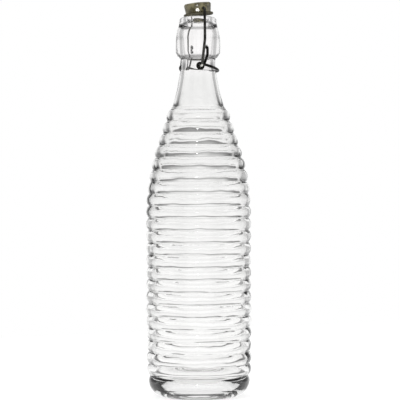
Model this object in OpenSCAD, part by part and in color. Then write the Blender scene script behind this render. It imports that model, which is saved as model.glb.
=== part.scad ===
// Clear ribbed water bottle with a swing-top closure.
// The glass stands on the plane z = 0 and its axis is Z. The thumb bow of the
// closing lever points to +X, and the lever turns on pivots that lie along Y.
// The closure is drawn shut: the lever is down against the neck, past dead centre.

/* [Glass body] */
// Diameter over the rib crests on the straight part of the body
body_d = 86.6; // [84:0.1:90]
// Height of the glass from the table to the top of the lip
glass_h = 312.5; // [308:0.5:320]
// Height at which the straight body ends and the shoulder begins
straight_h = 151; // [146:1:156]
// Radius of the curve from the straight body into the shoulder
shoulder_r = 175; // [165:1:185]
// Angle between the upper shoulder and the axis, in degrees
shoulder_angle = 18; // [17:0.25:18.5]
// Height at which the lowest ribs begin to draw in towards the heel
foot_h = 32; // [26:1:36]
// Radius of that drawing in
foot_r = 102; // [90:1:130]
// Radius of the rounded heel
heel_r = 14; // [12:0.5:15]
// Thickness of the glass wall at the grooves
wall_t = 2.6; // [2.2:0.1:3]
// Thickness of the glass in the middle of the base
floor_t = 6; // [4:0.5:8]
// Height of the hollow under the base
punt_h = 5; // [3:0.5:7]
// Radius of the hollow under the base, inside the ring that it stands on
punt_r = 23.5; // [21:0.5:25]
// Radius of the rounded corner between the wall and the floor inside
inner_heel_r = 13; // [11:0.5:14]

/* [Ribs] */
// Number of ribs from the heel to the top of the shoulder
rib_count = 23; // [22:1:23]
// Height of the lowest rib
first_rib_h = 12.3; // [11.5:0.1:13]
// How far a rib would stand out if its arc met the next rib in a sharp groove
rib_depth = 2.2; // [1.8:0.1:2.6]
// How much of that depth the rounded bottom of the groove leaves
groove_depth = 1.87; // [1.5:0.01:2]
// How far the inside of the glass follows each rib
inner_rib_depth = 1; // [0.6:0.1:1.4]

/* [Neck] */
// Height of the neck from the top of the ribs to the rounded lip
neck_h = 70.7; // [68:0.1:73]
// Radius of the neck below the groove
neck_r = 15.2; // [14.8:0.1:15.8]
// Radius of the groove under the collar, which the lever lies in
groove_r = 14.2; // [13.8:0.1:14.5]
// Radius of the collar that carries the pivots
collar_r = 18.3; // [17.8:0.1:18.8]
// Radius of the lip
lip_r = 15.7; // [15:0.1:16.2]
// Radius of the rounded outer edge of the lip
lip_round = 4.5; // [3.5:0.1:5]
// Radius of the bore at the mouth
bore_r = 9; // [8.4:0.1:9.4]
// Radius of the rounded inner edge of the mouth
mouth_round = 2; // [1.2:0.1:2.4]

/* [Closure wires] */
// Diameter of the steel wire of the lever and the bail
wire_d = 2.2; // [2:0.1:2.4]
// How far the pivot ends reach into the collar
pivot_reach = 3.4; // [2.8:0.1:4]
// Distance from the pivots down to the eyes of the lever
eye_drop = 15.4; // [14.5:0.1:16]
// Distance from the pivots back to the eyes of the lever
eye_back = 6; // [5.2:0.1:6.4]
// Distance from the pivots down to the knee of each lever leg
knee_drop = 6.5; // [5.5:0.1:7.5]
// Downward slope of the thumb bow, in degrees
bow_angle = 14; // [12:0.5:16]
// Distance from the end of the head to the corner of the bail, at the cross wire
bail_corner_out = 2.4; // [2.2:0.1:2.8]
// Height of the bail's straight legs above the eyes
bail_leg_h = 22; // [20:0.5:23]

/* [Stopper] */
// Diameter of the stopper head near its top
head_d = 22.4; // [21:0.1:23.5]
// Diameter of the stopper head at its underside
head_foot_d = 20.8; // [20:0.1:22]
// Height of the head above the cross wire
head_above = 5.8; // [5.2:0.1:6.5]
// Radius of the rounded edge round the top of the head
head_round = 1.9; // [1.4:0.1:2.4]
// How far the crown of the head rises above that rounded edge
crown_rise = 0.8; // [0.4:0.1:1.2]
// Diameter of the boss round each end of the hole for the cross wire
boss_d = 6.4; // [5.8:0.1:7]
// How far each boss stands out of the head
boss_out = 0.6; // [0.4:0.1:0.9]
// Height of the head below the cross wire
head_below = 3.1; // [2.9:0.1:3.5]
// Height of the cross wire above the lip
cross_h = 6.4; // [6.2:0.1:6.8]
// Lean of the stopper about the cross wire, in degrees; at 0 it sits level
stopper_lean = 6.5; // [0:0.5:8]
// Outer diameter of the rubber gasket
gasket_d = 24.4; // [23.4:0.1:25]
// Thickness of the gasket where nothing squeezes it
gasket_t = 2.6; // [2.2:0.1:2.8]
// Diameter of the stem that the gasket is pulled over
stem_d = 8.8; // [8:0.1:9.4]
// Diameter of the plug that holds the gasket on
plug_d = 11.2; // [10.6:0.1:11.8]
// Height of the plug
plug_h = 4; // [3.4:0.1:5]

/* [Fits] */
// Radial clearance of a wire that turns in a hole
turn_clear = 0.06; // [0.03:0.01:0.09]
// Gap between a wire and what it passes or ends in
wire_gap = 0.3; // [0.25:0.05:0.5]
// Gap between the thumb bow and the groove that it lies in front of
bow_gap = 0.9; // [0.8:0.05:1.1]
// Gap between the squeezed gasket and the lip
seat_gap = 0.05; // [0.03:0.01:0.1]

/* [Hidden] */
$fn = 96;

// One overrun serves every cut.
over = 1;
wire_r = wire_d / 2;

// Outline of the body. The cone of the shoulder starts where the curve reaches its angle.
body_r = body_d / 2;
cone_h = straight_h + shoulder_r * sin(shoulder_angle);
cone_r = body_r - shoulder_r * (1 - cos(shoulder_angle));

function drawn_in(rise, radius) = radius - sqrt(radius * radius - rise * rise);
function crest_r(h) =
    h < foot_h ? body_r - drawn_in(foot_h - h, foot_r) :
    h < straight_h ? body_r :
    h < cone_h ? body_r - drawn_in(h - straight_h, shoulder_r) :
    cone_r - (h - cone_h) * tan(shoulder_angle);
function crest_angle(h) =
    h < foot_h ? -asin((foot_h - h) / foot_r) :
    h < straight_h ? 0 :
    h < cone_h ? asin((h - straight_h) / shoulder_r) :
    shoulder_angle;

// Ribs, spread evenly up to the foot of the neck. Each is an arc whose chord is the rib's
// own width along the outline.
shoulder_top = glass_h - lip_round - neck_h;
rib_pitch = (shoulder_top - first_rib_h) / (rib_count - 0.5);
function rib_h(i) = first_rib_h + i * rib_pitch;
function rib_w(i) = rib_pitch / cos(crest_angle(rib_h(i)));
function chord_r(width, depth) = (width * width / 4 + depth * depth) / (2 * depth);
inner_draw = rib_depth + wall_t;

// Base. The heel's arc ends level with the lowest rib.
heel_c = crest_r(heel_r) - heel_r;
punt_ball_r = (punt_r * punt_r + punt_h * punt_h) / (2 * punt_h);
inner_wall_h = rib_h(1) - rib_pitch / 2 + inner_heel_r / 4;
inner_heel_c = [crest_r(inner_wall_h) - inner_draw - inner_heel_r, inner_wall_h];
inner_floor = punt_h + floor_t;

// Neck, from the top of the shoulder to the rounded lip. Each table gives a share of a
// radius step and a share of the neck's height.
flare_r = crest_r(shoulder_top) - groove_depth;
flare_shares = [[1, 0], [0.82, 0.028], [0.56, 0.121], [0.33, 0.21], [0.2, 0.28],
    [0.09, 0.34], [0, 0.39]];
collar_shares = [[0.08, 0.425], [0, 0.455], [0, 0.56], [0.31, 0.587], [0.69, 0.611],
    [0.9, 0.634], [1, 0.665], [1, 0.768], [0.91, 0.824], [0.78, 0.874], [0.65, 0.913],
    [0.5, 0.941], [0.4, 0.969]];
inner_flare_r = crest_r(shoulder_top) - inner_draw;
bore_shares = [[0.93, 0], [0.79, 0.045], [0.64, 0.121], [0.51, 0.2], [0.345, 0.331],
    [0.285, 0.39], [0.21, 0.47], [0.165, 0.53], [0.17, 0.57], [0.25, 0.622],
    [0.31, 0.681], [0.36, 0.774], [0.39, 0.831], [0.38, 0.88], [0.32, 0.92],
    [0.19, 0.955]];
pivot_share = 0.698;

// Pivots, eyes and cross wire, all along Y.
pivot_h = shoulder_top + pivot_share * neck_h;
eye = [-eye_back, pivot_h - eye_drop];
cross = [0, glass_h + cross_h];
eye_ring_r = wire_r + turn_clear + wire_r;
wire_lap = wire_d / 20;
joint_swell = wire_d / 250;
leg_y = collar_r + wire_gap + wire_r;
bow_r = leg_y - wire_d + wire_lap;
bail_y = leg_y + wire_d + wire_gap;
pivot_end_y = collar_r - pivot_reach;
bail_pin_end_y = bow_r - wire_r - wire_gap;
lever_bend_r = wire_d * 0.9;
bail_bend_r = wire_d;
hook_bend_r = wire_d * 0.9;
gentle_bend_r = wire_d * 3;

// Stopper sizes that follow from the ones above
head_r = head_d / 2;
head_foot_r = head_foot_d / 2;
bail_corner_y = head_r + boss_out + bail_corner_out;
bail_length = norm(cross - eye);
bail_angle = atan2(cross[0] - eye[0], cross[1] - eye[1]);
plug_tip_share = 0.78;
crown_edge_angle = 85;
dimple_flare = wire_d / 3;

function arc_points(centre, radius, from, to, steps) =
    [for (i = [0 : steps]) let (a = from + (to - from) * i / steps)
        centre + radius * [cos(a), sin(a)]];

// A smooth curve through a list of points
function blend(a, b, c, d, t) =
    (2 * b + (c - a) * t + (2 * a - 5 * b + 4 * c - d) * t * t
        + (3 * b - a - 3 * c + d) * t * t * t) / 2;
function smooth(p, steps) = concat(
    [for (i = [0 : len(p) - 2]) for (j = [0 : steps - 1])
        blend(p[max(i - 1, 0)], p[i], p[i + 1], p[min(i + 2, len(p) - 1)], j / steps)],
    [p[len(p) - 1]]);

function neck_points(shares, inner_r, outer_r) =
    [for (s = shares) [inner_r + s[0] * (outer_r - inner_r), shoulder_top + s[1] * neck_h]];

// Outer outline without the ribs, from the middle of the base up to the mouth
outer_outline = concat(
    [[0, 0]],
    arc_points([heel_c, heel_r], heel_r, -90, 0, 10),
    [for (i = [0 : rib_count - 2]) let (h = rib_h(i + 0.5)) [crest_r(h) - groove_depth, h]],
    smooth(concat(
        neck_points(flare_shares, neck_r, flare_r),
        neck_points(collar_shares, groove_r, collar_r),
        [[lip_r, glass_h - lip_round]]), 3),
    arc_points([lip_r - lip_round, glass_h - lip_round], lip_round, 0, 90, 7),
    [[0, glass_h]]);

// Outline of the space inside, from the middle of the floor up past the mouth
inner_outline = concat(
    [[0, inner_floor]],
    arc_points(inner_heel_c, inner_heel_r, -90, 0, 8),
    [for (i = [2 : rib_count - 2]) let (h = rib_h(i + 0.5)) [crest_r(h) - inner_draw, h]],
    smooth(concat(
        neck_points(bore_shares, bore_r, inner_flare_r),
        [[bore_r, glass_h - mouth_round]]), 3),
    arc_points([bore_r + mouth_round, glass_h - mouth_round], mouth_round, 180, 90, 5),
    [[bore_r + mouth_round, glass_h + over], [0, glass_h + over]]);

// One rib's rounded section, set square to the outline, with its crest drawn in by a distance
module rib_section(i, depth, draw) {
    r = chord_r(rib_w(i), depth);
    translate([crest_r(rib_h(i)), rib_h(i)])
        rotate(crest_angle(rib_h(i)))
            translate([-draw - r, 0])
                intersection() {
                    circle(r);
                    translate([0, -rib_w(i) / 2]) square([r, rib_w(i)]);
                }
}

module glass_profile() {
    difference() {
        union() {
            polygon(outer_outline);
            for (i = [0 : rib_count - 1]) rib_section(i, rib_depth, 0);
        }
        polygon(inner_outline);
        for (i = [2 : rib_count - 1])
            rib_section(i, inner_rib_depth, inner_draw - inner_rib_depth);
        intersection() {
            translate([0, punt_h - punt_ball_r]) circle(punt_ball_r);
            translate([0, -over]) square([punt_r, punt_h + over]);
        }
    }
}

// Blind round dimple in the collar, with a flared mouth, on the -Y side
module pivot_dimple() {
    hole_r = wire_r + turn_clear;
    hole_end = pivot_end_y - wire_gap;
    translate([0, 0, pivot_h]) rotate([90, 0, 0]) {
        translate([0, 0, hole_end]) cylinder(h = collar_r - hole_end + over, r = hole_r);
        translate([0, 0, collar_r - dimple_flare])
            cylinder(h = 2 * dimple_flare, r1 = hole_r, r2 = hole_r + 2 * dimple_flare);
    }
}

module both_sides() {
    children();
    mirror([0, 1, 0]) children();
}

module glass_bottle() {
    color([0.93, 0.95, 0.93, 0.4])
        difference() {
            rotate_extrude() glass_profile();
            both_sides() pivot_dimple();
        }
}

// Straight wire of a given length along the direction that it is drawn in, which is +Y here
module wire_run(run) {
    rotate([-90, 0, 0]) cylinder(h = run, r = wire_r, $fn = 32);
}

// Bend of the wire towards -X, about the origin
module wire_bend(turn, bend_r) {
    rotate_extrude(angle = turn) translate([bend_r, 0]) circle(wire_r, $fn = 32);
}

// Ball where two stretches of wire meet, a hair wider than the wire so that they fuse
module wire_joint() {
    sphere(r = wire_r + joint_swell, $fn = 32);
}

// A wire as a list of steps, each a straight run, a twist about the wire, and then a bend of
// some angle and radius. A step with no bend ends the wire, or leads to what is passed in.
module wire_steps(steps, i = 0) {
    if (i == len(steps)) {
        children();
    } else {
        run = steps[i][0];
        twist = steps[i][1];
        turn = steps[i][2];
        bend_r = steps[i][3];
        wire_joint();
        if (run > 0) wire_run(run);
        translate([0, run, 0])
            rotate([0, twist, 0])
                translate([-bend_r, 0, 0]) {
                    if (turn > 0) wire_bend(turn, bend_r);
                    if (turn > 0) translate([bend_r, 0, 0]) wire_joint();
                    rotate(turn) translate([bend_r, 0, 0]) wire_steps(steps, i + 1) children();
                }
    }
}

// The lever wire runs from the middle of the thumb bow back to the eye, round it once while
// it shifts outwards, up the leg with its knee, and in to the pivot. All on the -Y side.
knee = [0, pivot_h - knee_drop];
eye_far = norm(knee - eye);
leg_straight = sqrt(eye_far * eye_far - eye_ring_r * eye_ring_r);
leg_angle = atan2(knee[1] - eye[1], knee[0] - eye[0]) + asin(eye_ring_r / eye_far);
arm_start = eye + eye_ring_r * [sin(bow_angle), cos(bow_angle)];
bow_reach = groove_r + bow_gap + wire_r;
bow_mid = [bow_reach, arm_start[1] - (bow_reach - arm_start[0]) * tan(bow_angle)];
arm_run = (bow_reach - arm_start[0]) / cos(bow_angle) - bow_r;
eye_wrap = 180 + leg_angle + bow_angle;
knee_cut = gentle_bend_r * tan((90 - leg_angle) / 2);

// Part of a turn of the eye, with a rounded start and end
module eye_turn(turn) {
    wire_bend(turn, eye_ring_r);
    for (a = [0, turn]) rotate(a) translate([eye_ring_r, 0, 0]) wire_joint();
}

module lever_side() {
    translate([bow_mid[0], 0, bow_mid[1]]) rotate([180, bow_angle, 0])
        wire_steps([[0, 0, 90, bow_r], [arm_run, 90, 0, 0]])
            translate([-eye_ring_r, 0, 0]) {
                eye_turn(180);
                translate([0, 0, leg_y - bow_r]) {
                    eye_turn(eye_wrap);
                    rotate(eye_wrap) translate([eye_ring_r, 0, 0])
                        wire_steps([
                            [leg_straight - knee_cut, 0, 90 - leg_angle, gentle_bend_r],
                            [knee_drop - knee_cut - lever_bend_r, -90, 90, lever_bend_r],
                            [leg_y - lever_bend_r - pivot_end_y, 0, 0, 0]]);
                }
            }
}

module locking_lever() {
    color([0.2, 0.2, 0.19])
        union() both_sides() lever_side();
}

// The bail wire runs from the middle of the cross wire out past the head, slants down and out
// over the collar, goes straight down, and hooks in through the eye.
bail_slant = atan2(bail_y - bail_corner_y, bail_length - bail_leg_h);
corner_cut = bail_bend_r * tan((90 - bail_slant) / 2);
slant_cut = gentle_bend_r * tan(bail_slant / 2);
slant_run = (bail_y - bail_corner_y) / sin(bail_slant) - corner_cut - slant_cut;

module bail_side() {
    rotate([0, -90, 180])
        wire_steps([
            [bail_corner_y - corner_cut, 0, 90 - bail_slant, bail_bend_r],
            [slant_run, 0, bail_slant, gentle_bend_r],
            [bail_leg_h - slant_cut - hook_bend_r, 0, 90, hook_bend_r],
            [bail_y - hook_bend_r - bail_pin_end_y, 0, 0, 0]]);
}

module bail_wire() {
    color([0.3, 0.3, 0.29])
        translate([cross[0], 0, cross[1]])
            rotate([0, bail_angle, 0])
                union() both_sides() bail_side();
}

// Puts a piece drawn about the cross wire in its place, with the stopper's lean
module at_cross_wire() {
    translate([cross[0], 0, cross[1]]) rotate([0, -stopper_lean, 0]) children();
}

module head_profile() {
    polygon(concat(
        [[0, -head_below], [head_foot_r, -head_below]],
        arc_points([head_r - head_round, head_above - crown_rise - head_round],
            head_round, 0, crown_edge_angle, 6),
        [[0, head_above]]));
    translate([0, -head_below - gasket_t - over])
        square([stem_d / 2, gasket_t + 2 * over]);
    plug_top = -head_below - gasket_t - turn_clear;
    polygon([
        [0, plug_top],
        [plug_d / 2, plug_top],
        [plug_d / 2, plug_top - plug_h / 3],
        [plug_d / 2 * plug_tip_share, plug_top - plug_h],
        [0, plug_top - plug_h]]);
}

module stopper_head() {
    color([0.3, 0.28, 0.2])
        at_cross_wire()
            difference() {
                union() {
                    rotate_extrude() head_profile();
                    rotate([90, 0, 0])
                        cylinder(h = 2 * (head_r + boss_out), d = boss_d, center = true);
                }
                rotate([90, 0, 0])
                    cylinder(h = 2 * (head_r + boss_out + over), r = wire_r + turn_clear,
                        center = true);
            }
}

// The gasket is level with the head, and the lip squeezes its low side flat.
module stopper_gasket() {
    edge_r = gasket_t / 2;
    color([0.24, 0.23, 0.18])
        difference() {
            at_cross_wire()
                translate([0, 0, -head_below - gasket_t])
                    rotate_extrude()
                        difference() {
                            union() {
                                square([gasket_d / 2 - edge_r, gasket_t]);
                                translate([gasket_d / 2 - edge_r, edge_r]) circle(edge_r);
                            }
                            translate([0, -over]) square([stem_d / 2, gasket_t + 2 * over]);
                        }
            translate([0, 0, glass_h + seat_gap - gasket_d])
                cylinder(h = gasket_d, r = gasket_d);
        }
}

glass_bottle();
locking_lever();
bail_wire();
stopper_head();
stopper_gasket();
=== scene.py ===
"""Clear ribbed glass bottle with a swing-top closure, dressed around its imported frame.

The glass, the two bent wires, the stopper head and its gasket are built at full finish here and
ride on the bodies of the frame. Sizes are in millimetres and degrees. They become metres in the
meshes and in the materials. The studio's distances and the finishes' waves are in metres.
"""

import logging
import math
from dataclasses import dataclass, field
from enum import Enum
from typing import Optional, Sequence, Union

import bmesh
import bpy
from mathutils import Matrix, Vector


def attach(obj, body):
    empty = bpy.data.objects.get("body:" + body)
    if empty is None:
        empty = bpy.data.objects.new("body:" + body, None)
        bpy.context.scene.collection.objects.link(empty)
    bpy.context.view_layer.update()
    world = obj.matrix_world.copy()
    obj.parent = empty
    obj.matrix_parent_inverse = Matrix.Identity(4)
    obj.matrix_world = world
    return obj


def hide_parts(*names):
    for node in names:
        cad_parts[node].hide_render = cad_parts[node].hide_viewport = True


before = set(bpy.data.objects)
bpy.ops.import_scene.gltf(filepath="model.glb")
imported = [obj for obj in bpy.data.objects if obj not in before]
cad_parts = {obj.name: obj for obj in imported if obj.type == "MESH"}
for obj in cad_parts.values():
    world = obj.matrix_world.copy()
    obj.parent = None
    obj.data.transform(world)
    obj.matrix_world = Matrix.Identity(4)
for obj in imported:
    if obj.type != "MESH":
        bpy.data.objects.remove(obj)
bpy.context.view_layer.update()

log = logging.getLogger("bottle")

MM = 0.001
Pair = tuple[float, float]
Colour = tuple[float, float, float, float]
Socket = Union[bpy.types.NodeSocket, float, tuple, Vector]


class Body(Enum):
    """Bodies of the frame that pieces ride on."""

    BOTTLE = "bottle"
    LEVER = "lever"
    BAIL = "bail"
    STOPPER = "stopper"


class Slot(Enum):
    """Material slots of the record."""

    GLASS = "clear_glass"
    LEVER = "lever_steel"
    BAIL = "bail_steel"
    HEAD = "stopper_plastic"
    GASKET = "gasket_rubber"


class Work(Enum):
    """What a tool does to the piece that it works on."""

    JOIN = "UNION"
    CUT = "DIFFERENCE"


# ---------------------------------------------------------------- outlines


def arc(centre: Pair, radius: float, start: float, end: float, steps: int) -> list[Pair]:
    """Points along an arc.

    Args:
        centre: Middle of the arc.
        radius: Radius of the arc.
        start: First angle in degrees.
        end: Last angle in degrees.
        steps: Number of chords.

    Returns:
        The points, both ends included.
    """
    turns = [math.radians(start + (end - start) * i / steps) for i in range(steps + 1)]
    return [(centre[0] + radius * math.cos(a), centre[1] + radius * math.sin(a)) for a in turns]


def flowing(points: Sequence[Pair], steps: int) -> list[Pair]:
    """Smooth curve through points, the same curve that the solid's outline follows.

    Args:
        points: Points to pass through.
        steps: Chords from one point to the next.

    Returns:
        The points of the curve.
    """
    last = len(points) - 1
    curve: list[Pair] = []
    for i in range(last):
        a, b = points[max(i - 1, 0)], points[i]
        c, d = points[i + 1], points[min(i + 2, last)]
        for j in range(steps):
            t = j / steps
            curve.append(tuple(
                (2 * b[k] + (c[k] - a[k]) * t + (2 * a[k] - 5 * b[k] + 4 * c[k] - d[k]) * t * t
                 + (3 * b[k] - a[k] - 3 * c[k] + d[k]) * t ** 3) / 2
                for k in range(2)))
    return curve + [points[last]]


def both_sides(half: Sequence[Pair]) -> list[Pair]:
    """Outline of a tool from its upper half, whose heights are mirrored below."""
    return list(half) + [(r, -z) for r, z in reversed(half)]


def soft_max(a: float, b: float, blend: float) -> float:
    """Larger of two values, rounded where they cross.

    Args:
        a: First value.
        b: Second value.
        blend: Difference within which the crossing is rounded.

    Returns:
        The rounded maximum.
    """
    gap = max(blend - abs(a - b), 0.0) / blend
    return max(a, b) + gap * gap * blend / 4


def as_share(value: float) -> float:
    """Keeps a share between 0 and 1."""
    return min(max(value, 0.0), 1.0)


# ---------------------------------------------------------------- node trees


class Bench:
    """Adds and joins nodes in one tree.

    Attributes:
        tree: Tree that the nodes go into.
        given: Outputs of the tree's input node, where it has one.
        handed_out: Inputs of the tree's output node, where it has one.
    """

    def __init__(self, tree: bpy.types.NodeTree) -> None:
        """Starts work on a tree.

        Args:
            tree: Tree to add nodes to.
        """
        self.tree = tree
        ends = {node.bl_idname: node for node in tree.nodes}
        if "NodeGroupInput" in ends:
            self.given = ends["NodeGroupInput"].outputs
            self.handed_out = ends["NodeGroupOutput"].inputs

    def set(self, socket: bpy.types.NodeSocket, value: Socket) -> None:
        """Joins an input to an output, or gives it a constant.

        Args:
            socket: Input socket.
            value: Output socket or constant.
        """
        if isinstance(value, bpy.types.NodeSocket):
            self.tree.links.new(value, socket)
        else:
            socket.default_value = value

    def add(self, kind: str, inputs: Optional[dict] = None, **settings: object) -> bpy.types.Node:
        """Adds a node.

        Args:
            kind: Node type.
            inputs: Values or sockets by the input's name or number.
            **settings: Properties of the node, set before its inputs.

        Returns:
            The node.
        """
        node = self.tree.nodes.new(kind)
        for name, value in settings.items():
            setattr(node, name, value)
        for key, value in (inputs or {}).items():
            self.set(node.inputs[key], value)
        return node

    def math(self, operation: str, *values: Socket) -> bpy.types.NodeSocket:
        """Adds a Math node with these inputs and returns its result."""
        return self.add("ShaderNodeMath", dict(enumerate(values)), operation=operation).outputs[0]

    def whole(self, operation: str, *values: Socket) -> bpy.types.NodeSocket:
        """Adds an Integer Math node with these inputs and returns its result."""
        node = self.add("FunctionNodeIntegerMath", dict(enumerate(values)), operation=operation)
        return node.outputs[0]

    def vector(self, operation: str, inputs: dict) -> bpy.types.NodeSocket:
        """Adds a Vector Math node with these inputs and returns its vector."""
        return self.add("ShaderNodeVectorMath", inputs, operation=operation).outputs[0]

    def parts(self, vector: Socket) -> bpy.types.NodeOutputs:
        """Splits a vector or colour and returns its three numbers."""
        return self.add("ShaderNodeSeparateXYZ", {0: vector}).outputs

    def band(self, value: Socket, low: float, high: float, start: float = 0.0,
             end: float = 1.0) -> bpy.types.NodeSocket:
        """Maps a range smoothly onto another.

        Args:
            value: Value to map.
            low: Value that gives start.
            high: Value that gives end.
            start: Result at low.
            end: Result at high.

        Returns:
            The output socket.
        """
        node = self.add("ShaderNodeMapRange", {
            "Value": value, "From Min": low, "From Max": high, "To Min": start, "To Max": end,
        }, interpolation_type="SMOOTHSTEP")
        return node.outputs["Result"]

    def tint(self, share: Socket, low: Socket, high: Socket) -> bpy.types.NodeSocket:
        """Mixes two colours.

        Args:
            share: Share of the second colour.
            low: First colour.
            high: Second colour.

        Returns:
            The colour socket.
        """
        node = self.add("ShaderNodeMix", data_type="RGBA")
        for key, value in (("Factor_Float", share), ("A_Color", low), ("B_Color", high)):
            self.set(next(s for s in node.inputs if s.identifier == key), value)
        return next(s for s in node.outputs if s.identifier == "Result_Color")

    def noise(self, where: Socket, scale: Socket, detail: float,
              roughness: float = 0.5) -> bpy.types.Node:
        """Adds noise.

        Args:
            where: Coordinates.
            scale: Waves per metre.
            detail: Octaves.
            roughness: Strength of the higher octaves.

        Returns:
            The node, with its value and its colour.
        """
        return self.add("ShaderNodeTexNoise", {
            "Vector": where, "Scale": scale, "Detail": detail, "Roughness": roughness})

    def attribute(self, name: str) -> bpy.types.NodeSocket:
        """Reads a number that each point of the geometry carries."""
        node = self.add("GeometryNodeInputNamedAttribute", {"Name": name}, data_type="FLOAT")
        return node.outputs["Attribute"]

    def finish_shape(self, shape: bpy.types.NodeSocket) -> bpy.types.NodeTree:
        """Ends a shape tree in Realize Instances and Set Material.

        Args:
            shape: Geometry to hand out.

        Returns:
            The tree.
        """
        whole = self.add("GeometryNodeRealizeInstances", {"Geometry": shape})
        smooth = self.add("GeometryNodeSetShadeSmooth", {"Geometry": whole.outputs[0]})
        dressed = self.add("GeometryNodeSetMaterial", {
            "Geometry": smooth.outputs[0], "Material": self.given["Material"]})
        self.set(self.handed_out[0], dressed.outputs[0])
        return self.tree


def open_group(name: str, kind: str, inputs: Sequence[tuple[str, str, object]],
               outputs: Sequence[tuple[str, str]]) -> Bench:
    """Starts a group of nodes.

    Args:
        name: Name of the group.
        kind: Type of its tree.
        inputs: Name, kind of socket and default of each input.
        outputs: Name and kind of socket of each output.

    Returns:
        A bench for the group, with its input and output nodes.
    """
    tree = bpy.data.node_groups.new(name, kind)
    for label, shape, default in inputs:
        socket = tree.interface.new_socket(label, in_out="INPUT", socket_type="NodeSocket" + shape)
        if default is not None:
            socket.default_value = default
    for label, shape in outputs:
        tree.interface.new_socket(label, in_out="OUTPUT", socket_type="NodeSocket" + shape)
    tree.nodes.new("NodeGroupInput")
    tree.nodes.new("NodeGroupOutput")
    return Bench(tree)


def lathe_tree() -> bpy.types.NodeTree:
    """Tree that turns an outline of points in the plane y = 0 about the Z axis.

    Points with the attributes "swell" and "sway" are moved in and out, and up and down, by
    noise, as blown glass is never quite even.

    Returns:
        The tree, with inputs for the segments, the unevenness, its wave length and the material.
    """
    bench = open_group("turned_on_a_lathe", "GeometryNodeTree", [
        ("Geometry", "Geometry", None), ("Segments", "Int", 96), ("Swell", "Float", 0.0),
        ("Sway", "Float", 0.0), ("Wave Length", "Float", 0.02), ("Material", "Material", None),
    ], [("Geometry", "Geometry")])
    outline, segments = bench.given["Geometry"], bench.given["Segments"]
    count = bench.add("GeometryNodeAttributeDomainSize", {"Geometry": outline})
    rows = count.outputs["Point Count"]
    columns = bench.whole("ADD", segments, 1)
    grid = bench.add("GeometryNodeMeshGrid", {"Vertices X": columns, "Vertices Y": rows})
    index = bench.add("GeometryNodeInputIndex").outputs[0]
    row = bench.whole("MODULO", index, rows)
    column = bench.whole("DIVIDE_FLOOR", index, rows)

    def picked(kind: str, value: Socket) -> bpy.types.NodeSocket:
        """Reads a value of the outline at the row that a point of the grid is in."""
        inputs = {"Geometry": outline, "Value": value, "Index": row}
        return bench.add("GeometryNodeSampleIndex", inputs, data_type=kind).outputs[0]

    position = bench.add("GeometryNodeInputPosition").outputs[0]
    share = bench.math("DIVIDE", column, segments)
    turn = bench.add("ShaderNodeVectorRotate", {
        "Vector": picked("FLOAT_VECTOR", position), "Axis": (0.0, 0.0, 1.0),
        "Angle": bench.math("MULTIPLY", share, math.tau)}, rotation_type="AXIS_ANGLE").outputs[0]
    fineness = bench.math("DIVIDE", 1.0, bench.given["Wave Length"])
    waves = bench.parts(bench.noise(turn, fineness, detail=1.0).outputs["Color"])

    def moved(label: str, wave: int, way: Socket) -> bpy.types.NodeSocket:
        """Moves points to and fro for one kind of unevenness.

        Args:
            label: Name of the kind, as the tree's input has it.
            wave: Which of the noise's three numbers it follows.
            way: Direction that the points move in.

        Returns:
            The distance moved, as a vector.
        """
        swing = bench.math("MULTIPLY_ADD", waves[wave], 2.0, -1.0)
        most = bench.math("MULTIPLY", picked("FLOAT", bench.attribute(label.lower())),
                          bench.given[label])
        return bench.vector("SCALE", {0: way, "Scale": bench.math("MULTIPLY", swing, most)})

    level = bench.vector("MULTIPLY", {0: turn, 1: (1.0, 1.0, 0.0)})
    outwards = bench.vector("NORMALIZE", {0: level})
    uneven = bench.vector("ADD", {0: moved("Swell", 0, outwards),
                                  1: moved("Sway", 1, (0.0, 0.0, 1.0))})
    placed = bench.add("GeometryNodeSetPosition", {
        "Geometry": grid.outputs["Mesh"], "Position": turn, "Offset": uneven})
    same_place = 1e-7
    closed = bench.add("GeometryNodeMergeByDistance", {
        "Geometry": placed.outputs[0], "Distance": same_place})
    return bench.finish_shape(closed.outputs[0])


def wire_tree() -> bpy.types.NodeTree:
    """Tree that draws a round wire along a line of points, thinner where its ends are rounded.

    Returns:
        The tree, with inputs for the radius, the sides and the material.
    """
    bench = open_group("bent_wire", "GeometryNodeTree", [
        ("Geometry", "Geometry", None), ("Radius", "Float", 0.001), ("Sides", "Int", 24),
        ("Material", "Material", None)], [("Geometry", "Geometry")])
    path = bench.add("GeometryNodeMeshToCurve", {"Mesh": bench.given["Geometry"]})
    ring = bench.add("GeometryNodeCurvePrimitiveCircle", {
        "Resolution": bench.given["Sides"], "Radius": bench.given["Radius"]})
    drawn = bench.add("GeometryNodeCurveToMesh", {
        "Curve": path.outputs[0], "Profile Curve": ring.outputs[0],
        "Scale": bench.attribute("thickness"), "Fill Caps": True})
    return bench.finish_shape(drawn.outputs[0])


# ---------------------------------------------------------------- meshes


def put(name: str, data: bpy.types.ID) -> bpy.types.Object:
    """Makes an object of a mesh, lamp or camera and puts it in the scene.

    Args:
        name: Name of the object.
        data: Its mesh, lamp or camera.

    Returns:
        The object, at the origin.
    """
    thing = bpy.data.objects.new(name, data)
    bpy.context.collection.objects.link(thing)
    return thing


def bake(piece: bpy.types.Object) -> None:
    """Turns a piece's modifiers into plain mesh and removes them.

    Args:
        piece: Object with modifiers.
    """
    graph = bpy.context.evaluated_depsgraph_get()
    graph.update()
    mesh = bpy.data.meshes.new_from_object(piece.evaluated_get(graph), depsgraph=graph)
    piece.modifiers.clear()
    piece.data = mesh


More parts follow.
